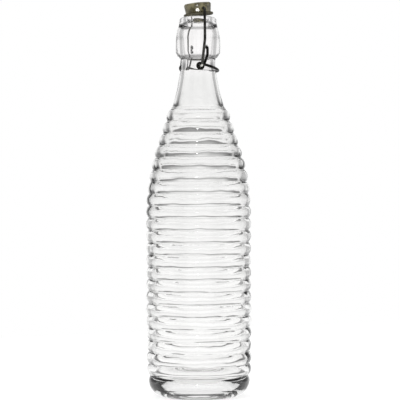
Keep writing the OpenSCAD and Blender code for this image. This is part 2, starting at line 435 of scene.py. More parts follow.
def face_outwards(mesh: bpy.types.Mesh) -> None:
    """Turns a closed mesh the right way out if its volume comes out negative.

    Args:
        mesh: Closed mesh.
    """
    work = bmesh.new()
    work.from_mesh(mesh)
    if work.calc_volume(signed=True) < 0:
        bmesh.ops.reverse_faces(work, faces=work.faces)
    work.to_mesh(mesh)
    work.free()


def grow(name: str, line: bpy.types.Mesh, tree: bpy.types.NodeTree,
         values: dict[str, object]) -> bpy.types.Object:
    """Runs a shape tree on a line and keeps the result as a plain mesh.

    Args:
        name: Name of the piece.
        line: Mesh with the points that the tree reads.
        tree: Shape tree.
        values: Values of the tree's inputs by name.

    Returns:
        The piece, at the origin, with its faces pointing outwards.
    """
    piece = put(name, line)
    modifier = piece.modifiers.new("shape", "NODES")
    modifier.node_group = tree
    for item in tree.interface.items_tree:
        if item.item_type == "SOCKET" and item.in_out == "INPUT" and item.name in values:
            modifier[item.identifier] = values[item.name]
    bake(piece)
    face_outwards(piece.data)
    return piece


def apply_tool(piece: bpy.types.Object, tool: bpy.types.Object, work: Work) -> None:
    """Joins a tool's form to a piece or cuts it away, and puts the tool out of the scene.

    Args:
        piece: Piece to work on.
        tool: Closed form.
        work: What the tool does.
    """
    step = piece.modifiers.new("tool", "BOOLEAN")
    step.operation = work.value
    step.solver = "EXACT"
    step.object = tool
    bake(piece)
    bpy.data.objects.remove(tool)


def dress(piece: bpy.types.Object, finish: bpy.types.Material, sharp: float) -> None:
    """Gives a piece one finish, and shades it smooth except at sharp edges.

    Args:
        piece: Piece to dress.
        finish: Material of the piece.
        sharp: Angle from which an edge counts as sharp.
    """
    mesh = piece.data
    work = bmesh.new()
    work.from_mesh(mesh)
    limit = math.radians(sharp)
    for face in work.faces:
        face.smooth = True
    for edge in work.edges:
        edge.smooth = len(edge.link_faces) != 2 or edge.calc_face_angle(0.0) < limit
    work.to_mesh(mesh)
    work.free()
    mesh.materials.clear()
    mesh.materials.append(finish)


def line_mesh(name: str, points: Sequence[Sequence[float]],
              shares: dict[str, Sequence[float]]) -> bpy.types.Mesh:
    """Makes a mesh line.

    Args:
        name: Name of the mesh.
        points: Points of the line, in metres.
        shares: Numbers that the points carry, by the name of the attribute.

    Returns:
        The mesh line.
    """
    mesh = bpy.data.meshes.new(name)
    edges = [(i, i + 1) for i in range(len(points) - 1)]
    mesh.from_pydata(points, edges, [])
    for label, values in shares.items():
        mesh.attributes.new(label, "FLOAT", "POINT").data.foreach_set("value", list(values))
    return mesh


def turned(name: str, outline: Sequence[Pair], tree: bpy.types.NodeTree, segments: int,
           finish: bpy.types.Material, unevenness: Sequence[Pair] = (),
           **values: float) -> bpy.types.Object:
    """Makes a piece by turning an outline.

    Args:
        name: Name of the piece.
        outline: Radius and height of each point.
        tree: Tree that turns outlines.
        segments: Number of segments in the round.
        finish: Material of the piece.
        unevenness: Share of swell and of sway at each point, where it has any.
        **values: Further inputs of the tree, in millimetres.

    Returns:
        The piece.
    """
    shares = {label: [float(pair[k]) for pair in unevenness]
              for k, label in enumerate(("swell", "sway")) if unevenness}
    points = [(r * MM, 0.0, z * MM) for r, z in outline]
    inputs = {label.replace("_", " ").title(): value * MM for label, value in values.items()}
    return grow(name, line_mesh(name + "_outline", points, shares), tree,
                {"Segments": segments, "Material": finish, **inputs})


# ---------------------------------------------------------------- finishes


def wear_group() -> bpy.types.NodeTree:
    """Group with patches of handling marks and fine grain, shared by the solid finishes.

    Returns:
        The group: Patches is 0 to 1 in soft blotches, Grain is fine noise.
    """
    bench = open_group("handling_wear", "ShaderNodeTree", [
        ("Where", "Vector", None), ("Patch Scale", "Float", 120.0),
        ("Grain Scale", "Float", 2500.0)], [("Patches", "Float"), ("Grain", "Float")])
    where = bench.given["Where"]
    wide = bench.noise(where, bench.given["Patch Scale"], detail=4.0, roughness=0.6)
    fine = bench.noise(where, bench.given["Grain Scale"], detail=3.0, roughness=0.65)
    bench.set(bench.handed_out["Patches"], bench.band(wide.outputs[0], low=0.35, high=0.68))
    bench.set(bench.handed_out["Grain"], fine.outputs[0])
    return bench.tree


def dust_group() -> bpy.types.NodeTree:
    """Group with sparse specks, as dust and tiny pits show on glass and rubber.

    Returns:
        The group: Specks is 1 on a speck and 0 elsewhere. Rarity is the share of cells with none.
    """
    bench = open_group("specks", "ShaderNodeTree", [
        ("Where", "Vector", None), ("Scale", "Float", 900.0), ("Spread", "Float", 0.12),
        ("Rarity", "Float", 0.8)], [("Specks", "Float")])
    cells = bench.add("ShaderNodeTexVoronoi", {
        "Vector": bench.given["Where"], "Scale": bench.given["Scale"]})
    near = bench.math("LESS_THAN", cells.outputs["Distance"], bench.given["Spread"])
    few = bench.math("GREATER_THAN", bench.parts(cells.outputs["Color"])[0], bench.given["Rarity"])
    bench.set(bench.handed_out["Specks"], bench.math("MULTIPLY", near, few))
    return bench.tree


def bare_material(name: str) -> tuple[bpy.types.Material, Bench, bpy.types.Node]:
    """Makes a material with a plain shader.

    Args:
        name: Name of the material.

    Returns:
        The material, a bench for its tree, and its Principled shader.
    """
    material = bpy.data.materials.new(name)
    material.use_nodes = True
    return material, Bench(material.node_tree), material.node_tree.nodes["Principled BSDF"]


@dataclass(frozen=True)
class Surface:
    """What a finish works with in one material.

    Attributes:
        bench: Bench of the material's tree.
        shader: Principled shader.
        where: Object coordinates.
        patches: Soft blotches of handling, from 0 to 1.
        grain: Fine noise.
        specks: 1 on a speck and 0 elsewhere.
    """

    bench: Bench
    shader: bpy.types.Node
    where: bpy.types.NodeSocket
    patches: bpy.types.NodeSocket
    grain: bpy.types.NodeSocket
    specks: bpy.types.NodeSocket

    def give(self, values: dict[str, Socket]) -> None:
        """Sets the shader's inputs by name."""
        for name, value in values.items():
            self.bench.set(self.shader.inputs[name], value)

    def relief(self, height: Socket, strength: float, depth: float) -> None:
        """Lays a relief on the surface.

        Args:
            height: Noise that gives its height.
            strength: Strength of the relief.
            depth: Its depth in metres.
        """
        bump = self.bench.add("ShaderNodeBump", {
            "Height": height, "Strength": strength, "Distance": depth})
        self.give({"Normal": bump.outputs[0]})


@dataclass(frozen=True)
class Finish:
    """A named surface. Each kind lays its own nodes on a Principled shader.

    Attributes:
        name: Name of the material.
        patch_scale: Blotches of handling per metre.
        grain_scale: Waves of the grain per metre.
        speck_scale: Cells that may hold a speck, per metre.
        relief: Strength of the relief.
        relief_depth: Depth of the relief in metres.
        grain_span: Values of the grain that take the roughness from one end to the other.
    """

    name: str
    patch_scale: float = 120.0
    grain_scale: float = 2500.0
    speck_scale: float = 900.0
    relief: float = 1.0
    relief_depth: float = 0.0001
    grain_span: Pair = (0.3, 0.7)

    def make(self, wear: bpy.types.NodeTree, dust: bpy.types.NodeTree) -> bpy.types.Material:
        """Builds the material.

        Args:
            wear: Shared group of handling marks.
            dust: Shared group of specks.

        Returns:
            The material.
        """
        material, bench, shader = bare_material(self.name)
        where = bench.add("ShaderNodeTexCoord").outputs["Object"]
        marks = bench.add("ShaderNodeGroup", {
            "Where": where, "Patch Scale": self.patch_scale, "Grain Scale": self.grain_scale,
        }, node_tree=wear).outputs
        specks = bench.add("ShaderNodeGroup", {
            "Where": where, "Scale": self.speck_scale}, node_tree=dust).outputs["Specks"]
        self.lay(Surface(bench, shader, where, marks["Patches"], marks["Grain"], specks))
        return material

    def lay(self, on: Surface) -> None:
        """Sets the shader for this finish.

        Args:
            on: Surface to work on.
        """
        raise NotImplementedError


@dataclass(frozen=True)
class ClearGlass(Finish):
    """Pressed and blown soda-lime glass, slightly wavy, with a faint grey cast.

    Attributes:
        cast: Colour that the light keeps at each surface.
        thin_cast: The same in the neck, where the glass is thinner and clearer.
        thin_above: Heights between which the one goes over into the other.
        refraction: Index of refraction.
        haze: Roughness in a blotch of handling.
        speck_haze: Roughness that a speck adds.
        wave_scale: Waves of its unevenness per metre.
        wave_stretch: Share of that number upwards, where the waves are longer.
    """

    patch_scale: float = 60.0
    speck_scale: float = 700.0
    relief_depth: float = 0.00035
    cast: Colour = (0.968, 0.967, 0.963, 1.0)
    thin_cast: Colour = (0.995, 0.988, 0.988, 1.0)
    thin_above: Pair = (262.0, 272.0)
    refraction: float = 1.5
    haze: float = 0.012
    speck_haze: float = 0.2
    wave_scale: float = 55.0
    wave_stretch: float = 0.45

    def lay(self, on: Surface) -> None:
        """Sets the shader for glass.

        Args:
            on: Surface to work on.
        """
        bench = on.bench
        low, high = self.thin_above
        thin = bench.band(bench.parts(on.where)[2], low * MM, high * MM)
        haze = bench.band(on.patches, 0.0, 1.0, 0.0, self.haze)
        on.give({"Transmission Weight": 1.0, "IOR": self.refraction,
                 "Base Color": bench.tint(thin, self.cast, self.thin_cast),
                 "Roughness": bench.math("MULTIPLY_ADD", on.specks, self.speck_haze, haze)})
        squeeze = bench.add("ShaderNodeMapping", {
            "Vector": on.where, "Scale": (1.0, 1.0, self.wave_stretch)})
        waves = bench.noise(squeeze.outputs[0], self.wave_scale, detail=1.5, roughness=0.45)
        on.relief(waves.outputs[0], self.relief, self.relief_depth)


@dataclass(frozen=True)
class DrawnSteel(Finish):
    """Drawn steel wire, dulled by handling, with fine lines along its length, and a painted glint
    where one is asked for.

    Attributes:
        clean: Colour where handling has worn it clean.
        dull: Colour where it has dulled.
        painted_glint: Colour of the painted glint, a highlight painted where a wire's bend would
            catch the light.
        sheen: Roughness where it is clean.
        dull_sheen: Roughness that dulling adds.
        speck_share: How far a speck takes the clean colour away.
        grain_rough: How far the grain moves the roughness either way.
        glint_line: X and Z of the line, along Y, about which the glint is painted.
        glint_reach: How far from that line the glint is painted.
        glint_core: Share of that distance within which the glint has its full colour.
    """

    patch_scale: float = 260.0
    grain_scale: float = 4200.0
    speck_scale: float = 1500.0
    relief: float = 0.25
    relief_depth: float = 0.00004
    clean: Colour = (0.1, 0.098, 0.09, 1.0)
    dull: Colour = (0.025, 0.024, 0.021, 1.0)
    painted_glint: Colour = (0.75, 0.74, 0.7, 1.0)
    sheen: float = 0.3
    dull_sheen: float = 0.2
    speck_share: float = 0.5
    grain_rough: float = 0.05
    glint_line: Optional[Pair] = None
    glint_reach: float = 1.6
    glint_core: float = 0.4

    def lay(self, on: Surface) -> None:
        """Sets the shader for steel wire.

        Args:
            on: Surface to work on.
        """
        bench = on.bench
        spots = bench.math("MULTIPLY", on.specks, self.speck_share)
        share = bench.math("MAXIMUM", bench.math("SUBTRACT", on.patches, spots), 0.0)
        colour = bench.tint(share, self.dull, self.clean)
        # Paints a highlight: the colour turns pale within a set distance of a line along Y, where
        # the bail's hooks bend through the lever's eyes and catch the light.
        if self.glint_line:
            parts = bench.parts(on.where)
            sides = [bench.math("SUBTRACT", parts[k], at * MM)
                     for k, at in zip((0, 2), self.glint_line)]
            squares = [bench.math("MULTIPLY", side, side) for side in sides]
            far = bench.math("SQRT", bench.math("ADD", *squares))
            edge = self.glint_reach * MM
            painted_glint = bench.band(far, edge, edge * self.glint_core)
            colour = bench.tint(painted_glint, colour, self.painted_glint)
        worn = bench.band(on.patches, 0.0, 1.0, self.sheen + self.dull_sheen, self.sheen)
        grain = bench.band(on.grain, *self.grain_span, -self.grain_rough, self.grain_rough)
        on.give({"Metallic": 1.0, "Base Color": colour,
                 "Roughness": bench.math("ADD", worn, grain)})
        on.relief(on.grain, self.relief, self.relief_depth)


@dataclass(frozen=True)
class MouldedPlastic(Finish):
    """Glossy moulded plastic with a little mottling and fine scuffs.

    Attributes:
        deep: Darker colour of the mottling.
        pale: Paler colour of the mottling.
        gloss: Roughness of clean plastic.
        worn_gloss: Roughness that handling adds.
        scuff: Roughness that a speck adds.
        coat: Weight of the moulded skin's gloss.
        coat_rough: Roughness of that skin.
    """

    patch_scale: float = 180.0
    grain_scale: float = 3000.0
    speck_scale: float = 1100.0
    relief: float = 0.1
    relief_depth: float = 0.00003
    deep: Colour = (0.045, 0.037, 0.013, 1.0)
    pale: Colour = (0.22, 0.195, 0.105, 1.0)
    gloss: float = 0.2
    worn_gloss: float = 0.12
    scuff: float = 0.2
    coat: float = 0.4
    coat_rough: float = 0.08

    def lay(self, on: Surface) -> None:
        """Sets the shader for moulded plastic.

        Args:
            on: Surface to work on.
        """
        bench = on.bench
        scuffs = bench.math("MULTIPLY", on.specks, self.scuff)
        base = bench.band(on.patches, 0.0, 1.0, self.gloss, self.gloss + self.worn_gloss)
        on.give({"Base Color": bench.tint(on.patches, self.deep, self.pale),
                 "Roughness": bench.math("ADD", base, scuffs),
                 "Coat Weight": self.coat, "Coat Roughness": self.coat_rough})
        on.relief(on.grain, self.relief, self.relief_depth)


@dataclass(frozen=True)
class GasketRubber(Finish):
    """Matt rubber with a talcum bloom in its pores.

    Attributes:
        body: Colour of the rubber.
        bloom: Colour of the bloom.
        patch_bloom: Share of bloom in a blotch of handling.
        pore_bloom: Share of bloom in a pore.
        matt: Lowest and highest roughness.
    """

    patch_scale: float = 300.0
    grain_scale: float = 3600.0
    speck_scale: float = 1800.0
    relief: float = 0.4
    relief_depth: float = 0.00008
    body: Colour = (0.05, 0.044, 0.024, 1.0)
    bloom: Colour = (0.13, 0.118, 0.08, 1.0)
    patch_bloom: float = 0.5
    pore_bloom: float = 0.7
    matt: Pair = (0.5, 0.7)

    def lay(self, on: Surface) -> None:
        """Sets the shader for rubber.

        Args:
            on: Surface to work on.
        """
        bench = on.bench
        share = bench.math("MAXIMUM", bench.math("MULTIPLY", on.patches, self.patch_bloom),
                           bench.math("MULTIPLY", on.specks, self.pore_bloom))
        on.give({"Base Color": bench.tint(share, self.body, self.bloom),
                 "Roughness": bench.band(on.grain, *self.grain_span, *self.matt)})
        on.relief(on.grain, self.relief, self.relief_depth)


# ---------------------------------------------------------------- the glass


@dataclass
class GlassBottle:
    """The blown glass: ribbed body, shoulder, neck, collar with pivot dimples, lip and base."""

    body_r: float = 43.26
    glass_h: float = 312.5
    straight_h: float = 151.0
    shoulder_r: float = 175.0
    shoulder_angle: float = 18.0
    foot_h: float = 32.0
    foot_r: float = 102.0
    heel_r: float = 14.0
    wall_t: float = 2.6
    floor_t: float = 6.0
    punt_h: float = 5.0
    punt_r: float = 23.5
    inner_heel_r: float = 13.0
    rib_count: int = 23
    first_rib_h: float = 12.3
    first_pocket: int = 2
    rib_depth: float = 2.2
    groove_depth: float = 1.87
    inner_rib_depth: float = 1.0
    neck_h: float = 70.7
    neck_r: float = 15.2
    groove_r: float = 14.2
    collar_r: float = 18.3
    lip_r: float = 15.7
    lip_round: float = 4.5
    bore_r: float = 9.0
    mouth_round: float = 2.0
    pivot_share: float = 0.698
    dimple_r: float = 1.16
    dimple_end: float = 14.6
    dimple_round: float = 0.4
    dimple_flare: float = 0.8
    groove_soft: float = 0.3
    groove_ease: float = 2.2
    segments: int = 112
    dimple_segments: int = 40
    sharp: float = 35.0
    swell: float = 0.5
    sway: float = 0.5
    wave_length: float = 16.0
    even_foot: Pair = (8.0, 20.0)
    even_neck: Pair = (10.0, 30.0)
    flare_shares: Sequence[Pair] = (
        (1, 0), (0.82, 0.028), (0.56, 0.121), (0.33, 0.21), (0.2, 0.28), (0.09, 0.34), (0, 0.39))
    collar_shares: Sequence[Pair] = (
        (0.08, 0.425), (0, 0.455), (0, 0.56), (0.31, 0.587), (0.69, 0.611), (0.9, 0.634),
        (1, 0.665), (1, 0.768), (0.91, 0.824), (0.78, 0.874), (0.65, 0.913), (0.5, 0.941),
        (0.4, 0.969))
    bore_shares: Sequence[Pair] = (
        (0.93, 0), (0.79, 0.045), (0.64, 0.121), (0.51, 0.2), (0.345, 0.331), (0.285, 0.39),
        (0.21, 0.47), (0.165, 0.53), (0.17, 0.57), (0.25, 0.622), (0.31, 0.681), (0.36, 0.774),
        (0.39, 0.831), (0.38, 0.88), (0.32, 0.92), (0.19, 0.955))

    @property
    def shoulder_top(self) -> float:
        """Height of the top of the last rib."""
        return self.glass_h - self.lip_round - self.neck_h

    @property
    def rib_pitch(self) -> float:
        """Height of one rib."""
        return (self.shoulder_top - self.first_rib_h) / (self.rib_count - 0.5)

    @property
    def inner_draw(self) -> float:
        """Distance from the crests in to the space inside."""
        return self.rib_depth + self.wall_t

    @property
    def pivot_h(self) -> float:
        """Height of the pivots, which the dimples are for."""
        return self.shoulder_top + self.pivot_share * self.neck_h

    def rib_h(self, i: float) -> float:
        """Height of a rib, or of the groove at a half number."""
        return self.first_rib_h + i * self.rib_pitch

    def crest_r(self, h: float) -> float:
        """Radius over the crests.

        Args:
            h: Height.

        Returns:
            The radius: foot, straight part, shoulder's arc and cone, from the base up.
        """
        slope = math.radians(self.shoulder_angle)
        cone_h = self.straight_h + self.shoulder_r * math.sin(slope)
        if h < self.foot_h:
            return self.body_r - self.drawn_in(self.foot_h - h, self.foot_r)
        if h < self.straight_h:
            return self.body_r
        if h < cone_h:
            return self.body_r - self.drawn_in(h - self.straight_h, self.shoulder_r)
        cone_r = self.body_r - self.shoulder_r * (1 - math.cos(slope))
        return cone_r - (h - cone_h) * math.tan(slope)

    def crest_angle(self, h: float) -> float:
        """Lean of the line over the crests.

        Args:
            h: Height.

        Returns:
            The lean in radians.
        """
        slope = math.radians(self.shoulder_angle)
        if h < self.foot_h:
            return -math.asin((self.foot_h - h) / self.foot_r)
        if h < self.straight_h:
            return 0.0
        return min(math.asin(min((h - self.straight_h) / self.shoulder_r, 1.0)), slope)

    @staticmethod
    def drawn_in(rise: float, radius: float) -> float:
        """How far an arc of a radius has drawn in after a rise."""
        return radius - math.sqrt(radius * radius - rise * rise)

    def rib_reach(self, i: int, h: float, depth: float, draw: float) -> float:
        """Radius of one rib's arc at a height.

        Args:
            i: Number of the rib.
            h: Height.
            depth: Depth of the arc.
            draw: Distance of its crest inside the crest line.

        Returns:
            The radius, or 0 where the arc doesn't reach.
        """
        middle = self.rib_h(i)
        lean = self.crest_angle(middle)
        width = self.rib_pitch / math.cos(lean)
        radius = (width * width / 4 + depth * depth) / (2 * depth)
        centre_r = self.crest_r(middle) - (draw + radius) * math.cos(lean)
        centre_h = middle - (draw + radius) * math.sin(lean)
        rise = h - centre_h
        if abs(rise) >= radius:
            return 0.0
        return centre_r + math.sqrt(radius * radius - rise * rise)

    def ribbed(self, h: float, first: int, depth: float, draw: float) -> float:
        """Radius of the two ribs beside a height, where the further out counts.

        Args:
            h: Height.
            first: Number of the lowest rib that there is.
            depth: Depth of a rib's arc.
            draw: Distance of the ribs' crests inside the crest line.

        Returns:
            The radius.
        """
        near = math.floor((h - self.first_rib_h) / self.rib_pitch)
        ribs = {min(max(near + k, first), self.rib_count - 1) for k in (0, 1)}
        return max(self.rib_reach(i, h, depth, draw) for i in ribs)

    def outer_at(self, h: float) -> float:
        """Outer radius of the ribbed body.

        Args:
            h: Height.

        Returns:
            The radius.
        """
        if h < self.heel_r:
            heel_c = self.crest_r(self.heel_r) - self.heel_r
            rise = self.heel_r - h
            plain = heel_c + math.sqrt(max(self.heel_r ** 2 - rise * rise, 0.0))
        else:
            plain = self.crest_r(h) - self.groove_depth
        return soft_max(self.ribbed(h, 0, self.rib_depth, 0.0), plain, self.groove_soft)

    def inner_at(self, h: float) -> float:
        """Inner radius of the ribbed body.

        Args:
            h: Height.

        Returns:
            The radius.
        """
        pocket = self.ribbed(h, self.first_pocket, self.inner_rib_depth,
                             self.inner_draw - self.inner_rib_depth)
        return soft_max(pocket, self.crest_r(h) - self.inner_draw, self.groove_soft)

    def rib_heights(self, start: float, end: float, steps: int) -> list[float]:
        """Heights for the outline, closer together in the grooves.

        Args:
            start: Lowest height.
            end: Highest height.
            steps: Steps in one rib.

        Returns:
            The heights.
        """
        heights = []
        for i in range(-1, self.rib_count + 1):
            for k in range(steps):
                t = k / steps
                eased = t - math.sin(math.tau * t) / (math.tau * self.groove_ease)
                h = self.rib_h(i) - self.rib_pitch / 2 + self.rib_pitch * eased
                if start < h < end:
                    heights.append(h)
        return heights

    def neck_points(self, shares: Sequence[Pair], inner: float, outer: float) -> list[Pair]:
        """Points of the neck from shares of a radius step and of the neck's height."""
        return [(inner + s * (outer - inner), self.shoulder_top + t * self.neck_h)
                for s, t in shares]

    def base_outline(self) -> list[Pair]:
        """Outline of the hollow base, the ring that it stands on, the heel and the ribs.

        Returns:
            The points, from the axis outwards and up to the last rib.
        """
        ball = (self.punt_r ** 2 + self.punt_h ** 2) / (2 * self.punt_h)
        rim, turn_r, turn_h, ring = 1.2, 0.4, 0.05, 1.6
        last = 15
        hollow = []
        for i in range(last + 1):
            r = (self.punt_r - rim) * i / last
            hollow.append((r, self.punt_h - ball + math.sqrt(ball * ball - r * r)))
        heel_c = self.crest_r(self.heel_r) - self.heel_r
        steps = 4
        turn = flowing([hollow[-2], hollow[-1], (self.punt_r + turn_r, turn_h),
                        (self.punt_r + ring, 0.0), (heel_c, 0.0)], steps)[steps:]
        turn = [(r, max(h, 0.0)) for r, h in turn]
        heel = arc((heel_c, self.heel_r), self.heel_r, -90, -8, steps=22)[1:]
        plain_below, clear_foot, clear_top = 4, 0.1, 0.6
        rounded = [(max(r, self.outer_at(h) if h > plain_below else r), h) for r, h in heel]
        heights = self.rib_heights(heel[-1][1] + clear_foot, self.shoulder_top - clear_top,
                                   steps=16)
        return hollow[:-1] + turn + rounded + [(self.outer_at(h), h) for h in heights]

    def outside_outline(self) -> list[Pair]:
        """Outline of the outside.

        Returns:
            The points, from the middle of the base up over the lip to the mouth.
        """
        flare_r = self.crest_r(self.shoulder_top) - self.groove_depth
        neck = flowing(
            self.neck_points(self.flare_shares, self.neck_r, flare_r)
            + self.neck_points(self.collar_shares, self.groove_r, self.collar_r)
            + [(self.lip_r, self.glass_h - self.lip_round)], steps=5)
        lip_c = (self.lip_r - self.lip_round, self.glass_h - self.lip_round)
        lip = arc(lip_c, self.lip_round, 0, 90, steps=12)[1:]
        mouth_c = (self.bore_r + self.mouth_round, self.glass_h - self.mouth_round)
        mouth = arc(mouth_c, self.mouth_round, 90, 180, steps=8)
        return self.base_outline() + neck + lip + mouth

    def unevenness(self, h: float, inside: bool) -> Pair:
        """Share of swell and sway at a height: none at the base, the neck's top and the floor.

        Args:
            h: Height.
            inside: Whether the point is on the inside.

        Returns:
            The two shares. The mould keeps the outside from swelling.
        """
        foot, foot_fade = self.even_foot
        neck, neck_fade = self.even_neck
        share = (as_share((h - foot) / foot_fade)
                 * as_share((self.shoulder_top + neck - h) / neck_fade))
        return (share, share) if inside else (0.0, share)

    def inside_outline(self) -> list[Pair]:
        """Outline of the space inside.

        Returns:
            The points, from the mouth down to the middle of the floor.
        """
        inner_flare = self.crest_r(self.shoulder_top) - self.inner_draw
        bore = flowing(
            self.neck_points(self.bore_shares, self.bore_r, inner_flare)
            + [(self.bore_r, self.glass_h - self.mouth_round)], steps=4)
        bore.reverse()
        wall_h = self.rib_h(1) - self.rib_pitch / 2 + self.inner_heel_r / 4
        clear_foot, clear_top = 1.0, 4.0
        heights = self.rib_heights(wall_h + clear_foot, self.shoulder_top - clear_top, steps=10)
        wall = [(self.inner_at(h), h) for h in reversed(heights)]
        heel_c = self.crest_r(wall_h) - self.inner_draw - self.inner_heel_r
        heel = arc((heel_c, wall_h), self.inner_heel_r, 0, -90, steps=16)
        floor_h = self.punt_h + self.floor_t
        edge_h = wall_h - self.inner_heel_r
        steps = 12
        floor = []
        for i in range(1, steps + 1):
            t = 1 - i / steps
            floor.append((heel_c * t, floor_h + (edge_h - floor_h) * t * t * (3 - 2 * t) ** 0.5))
        return bore[1:] + wall + heel + floor

    def dimple(self, lathe: bpy.types.NodeTree, finish: bpy.types.Material,
               turn: float) -> bpy.types.Object:
        """Cutter for a dimple.

        Args:
            lathe: Tree that turns outlines.
            finish: Material of the glass.
            turn: Angle about the bottle's axis from the -Y side.

        Returns:
            The cutter.
        """
        past, ease = 2.0, 0.25
        deep, out, widest = self.dimple_end, self.collar_r + past, self.dimple_r + past
        flare, soft = self.dimple_flare, self.dimple_round
        points = ([(0.0, deep)]
                  + arc((self.dimple_r - soft, deep + soft), soft, -90, 0, steps=4)
                  + [(self.dimple_r, self.collar_r - flare)]
                  + flowing([(self.dimple_r, self.collar_r - flare),
                             (self.dimple_r + ease, self.collar_r - flare / 2),
                             (self.dimple_r + flare, self.collar_r),
                             (widest, self.collar_r + flare)], steps=3)[1:]
                  + [(widest, out), (0.0, out)])
        cutter = turned("dimple_cutter", points, lathe, self.dimple_segments, finish)
        cutter.data.transform(Matrix.Translation((0, 0, self.pivot_h * MM))
                              @ Matrix.Rotation(math.radians(90), 4, "X"))
        if turn:
            cutter.data.transform(Matrix.Rotation(math.radians(turn), 4, "Z"))
        return cutter

    def build(self, lathe: bpy.types.NodeTree, finish: bpy.types.Material) -> bpy.types.Object:
        """Makes the glass.

        Args:
            lathe: Tree that turns outlines.
            finish: Material of the glass.

        Returns:
            The glass, at the origin.
        """
        outside, inside = self.outside_outline(), self.inside_outline()
        shares = ([self.unevenness(h, False) for _, h in outside]
                  + [self.unevenness(h, True) for _, h in inside])
        glass = turned("ribbed_glass", outside + inside, lathe, self.segments, finish, shares,
                       swell=self.swell, sway=self.sway, wave_length=self.wave_length)
        for turn in (0, 180):
            apply_tool(glass, self.dimple(lathe, finish, turn), Work.CUT)
        dress(glass, finish, self.sharp)
        return glass


# ---------------------------------------------------------------- the wires


@dataclass
class WirePath:
    """Follows a wire as it is bent: straight runs, twists about the wire, and bends.

    Attributes:
        place: Place and direction of the wire's end; the wire runs along its +Y.
        points: Points passed so far.
        spacing: Longest distance between points on a run.
        chord: Largest angle between points in a bend.
        fewest: Least number of points in a bend.
        same: Distance within which a point is the last one again.
    """

    place: Matrix
    points: list[Vector] = field(default_factory=list)
    spacing: float = 1.5
    chord: float = 5.0
    fewest: int = 3
    same: float = 1e-4

    def mark(self) -> None:
        """Keeps the present place as a point, unless it is the last one."""
        point = self.place.translation.copy()
        if not self.points or (point - self.points[-1]).length > self.same:
            self.points.append(point)

    def run(self, length: float) -> None:
        """Goes straight on.

        Args:
            length: Length of the run.
        """
        self.mark()
        steps = max(1, math.ceil(length / self.spacing))
        for _ in range(steps):
            self.place = self.place @ Matrix.Translation((0, length / steps, 0))
            self.mark()

    def twist(self, angle: float) -> None:
        """Turns the plane of the next bend about the wire."""
        self.place = self.place @ Matrix.Rotation(math.radians(angle), 4, "Y")

    def bend(self, angle: float, radius: float, shift: float = 0.0) -> None:
        """Bends towards -X, and moves along the axis of the bend on the way.

        Args:
            angle: Angle of the bend.
            radius: Radius of the bend.
            shift: Distance along the axis of the bend.
        """
        self.mark()
        start = self.place.copy()
        steps = max(self.fewest, math.ceil(abs(angle) / self.chord))
        for i in range(1, steps + 1):
            t = i / steps
            self.place = (start @ Matrix.Translation((-radius, 0, shift * t * t * (3 - 2 * t)))
                          @ Matrix.Rotation(math.radians(angle * t), 4, "Z")
                          @ Matrix.Translation((radius, 0, 0)))
            self.mark()


@dataclass
class Closure:
    """Sizes that the two wires and the stopper share, with the same names as the solids'."""

    glass: GlassBottle
    wire_d: float = 2.2
    pivot_reach: float = 3.4
    eye_drop: float = 15.4
    eye_back: float = 6.0
    knee_drop: float = 6.5
    bow_angle: float = 14.0
    bail_corner_out: float = 2.4
    bail_leg_h: float = 22.0
    cross_h: float = 6.4
    head_r: float = 11.2
    boss_out: float = 0.6
    turn_clear: float = 0.06
    wire_gap: float = 0.3
    bow_gap: float = 0.9
    tight_bend: float = 0.9
    gentle_bend: float = 3.0
    coil_parts: float = 20.0

    @property
    def wire_r(self) -> float:
        """Radius of the wire."""
        return self.wire_d / 2

    @property
    def tight_r(self) -> float:
        """Radius of the wires' tightest bends."""
        return self.wire_d * self.tight_bend

    @property
    def gentle_r(self) -> float:
        """Radius of the wires' gentle bends."""
        return self.wire_d * self.gentle_bend

    @property
    def eye(self) -> Pair:
        """Place of the eyes in X and Z."""
        return -self.eye_back, self.glass.pivot_h - self.eye_drop

    @property
    def cross(self) -> Pair:
        """Place of the cross wire in X and Z."""
        return 0.0, self.glass.glass_h + self.cross_h

    @property
    def eye_ring_r(self) -> float:
        """Radius of the eye at the middle of the wire."""
        return 2 * self.wire_r + self.turn_clear

    @property
    def leg_y(self) -> float:
        """Distance of the lever's legs from the axis."""
        return self.glass.collar_r + self.wire_gap + self.wire_r

    @property
    def bow_r(self) -> float:
        """Radius of the thumb bow, inside the legs by a coil's pitch, a little under a wire."""
        return self.leg_y - self.wire_d + self.wire_d / self.coil_parts

    @property
    def bail_y(self) -> float:
        """Distance of the bail's straight legs from the axis."""
        return self.leg_y + self.wire_d + self.wire_gap


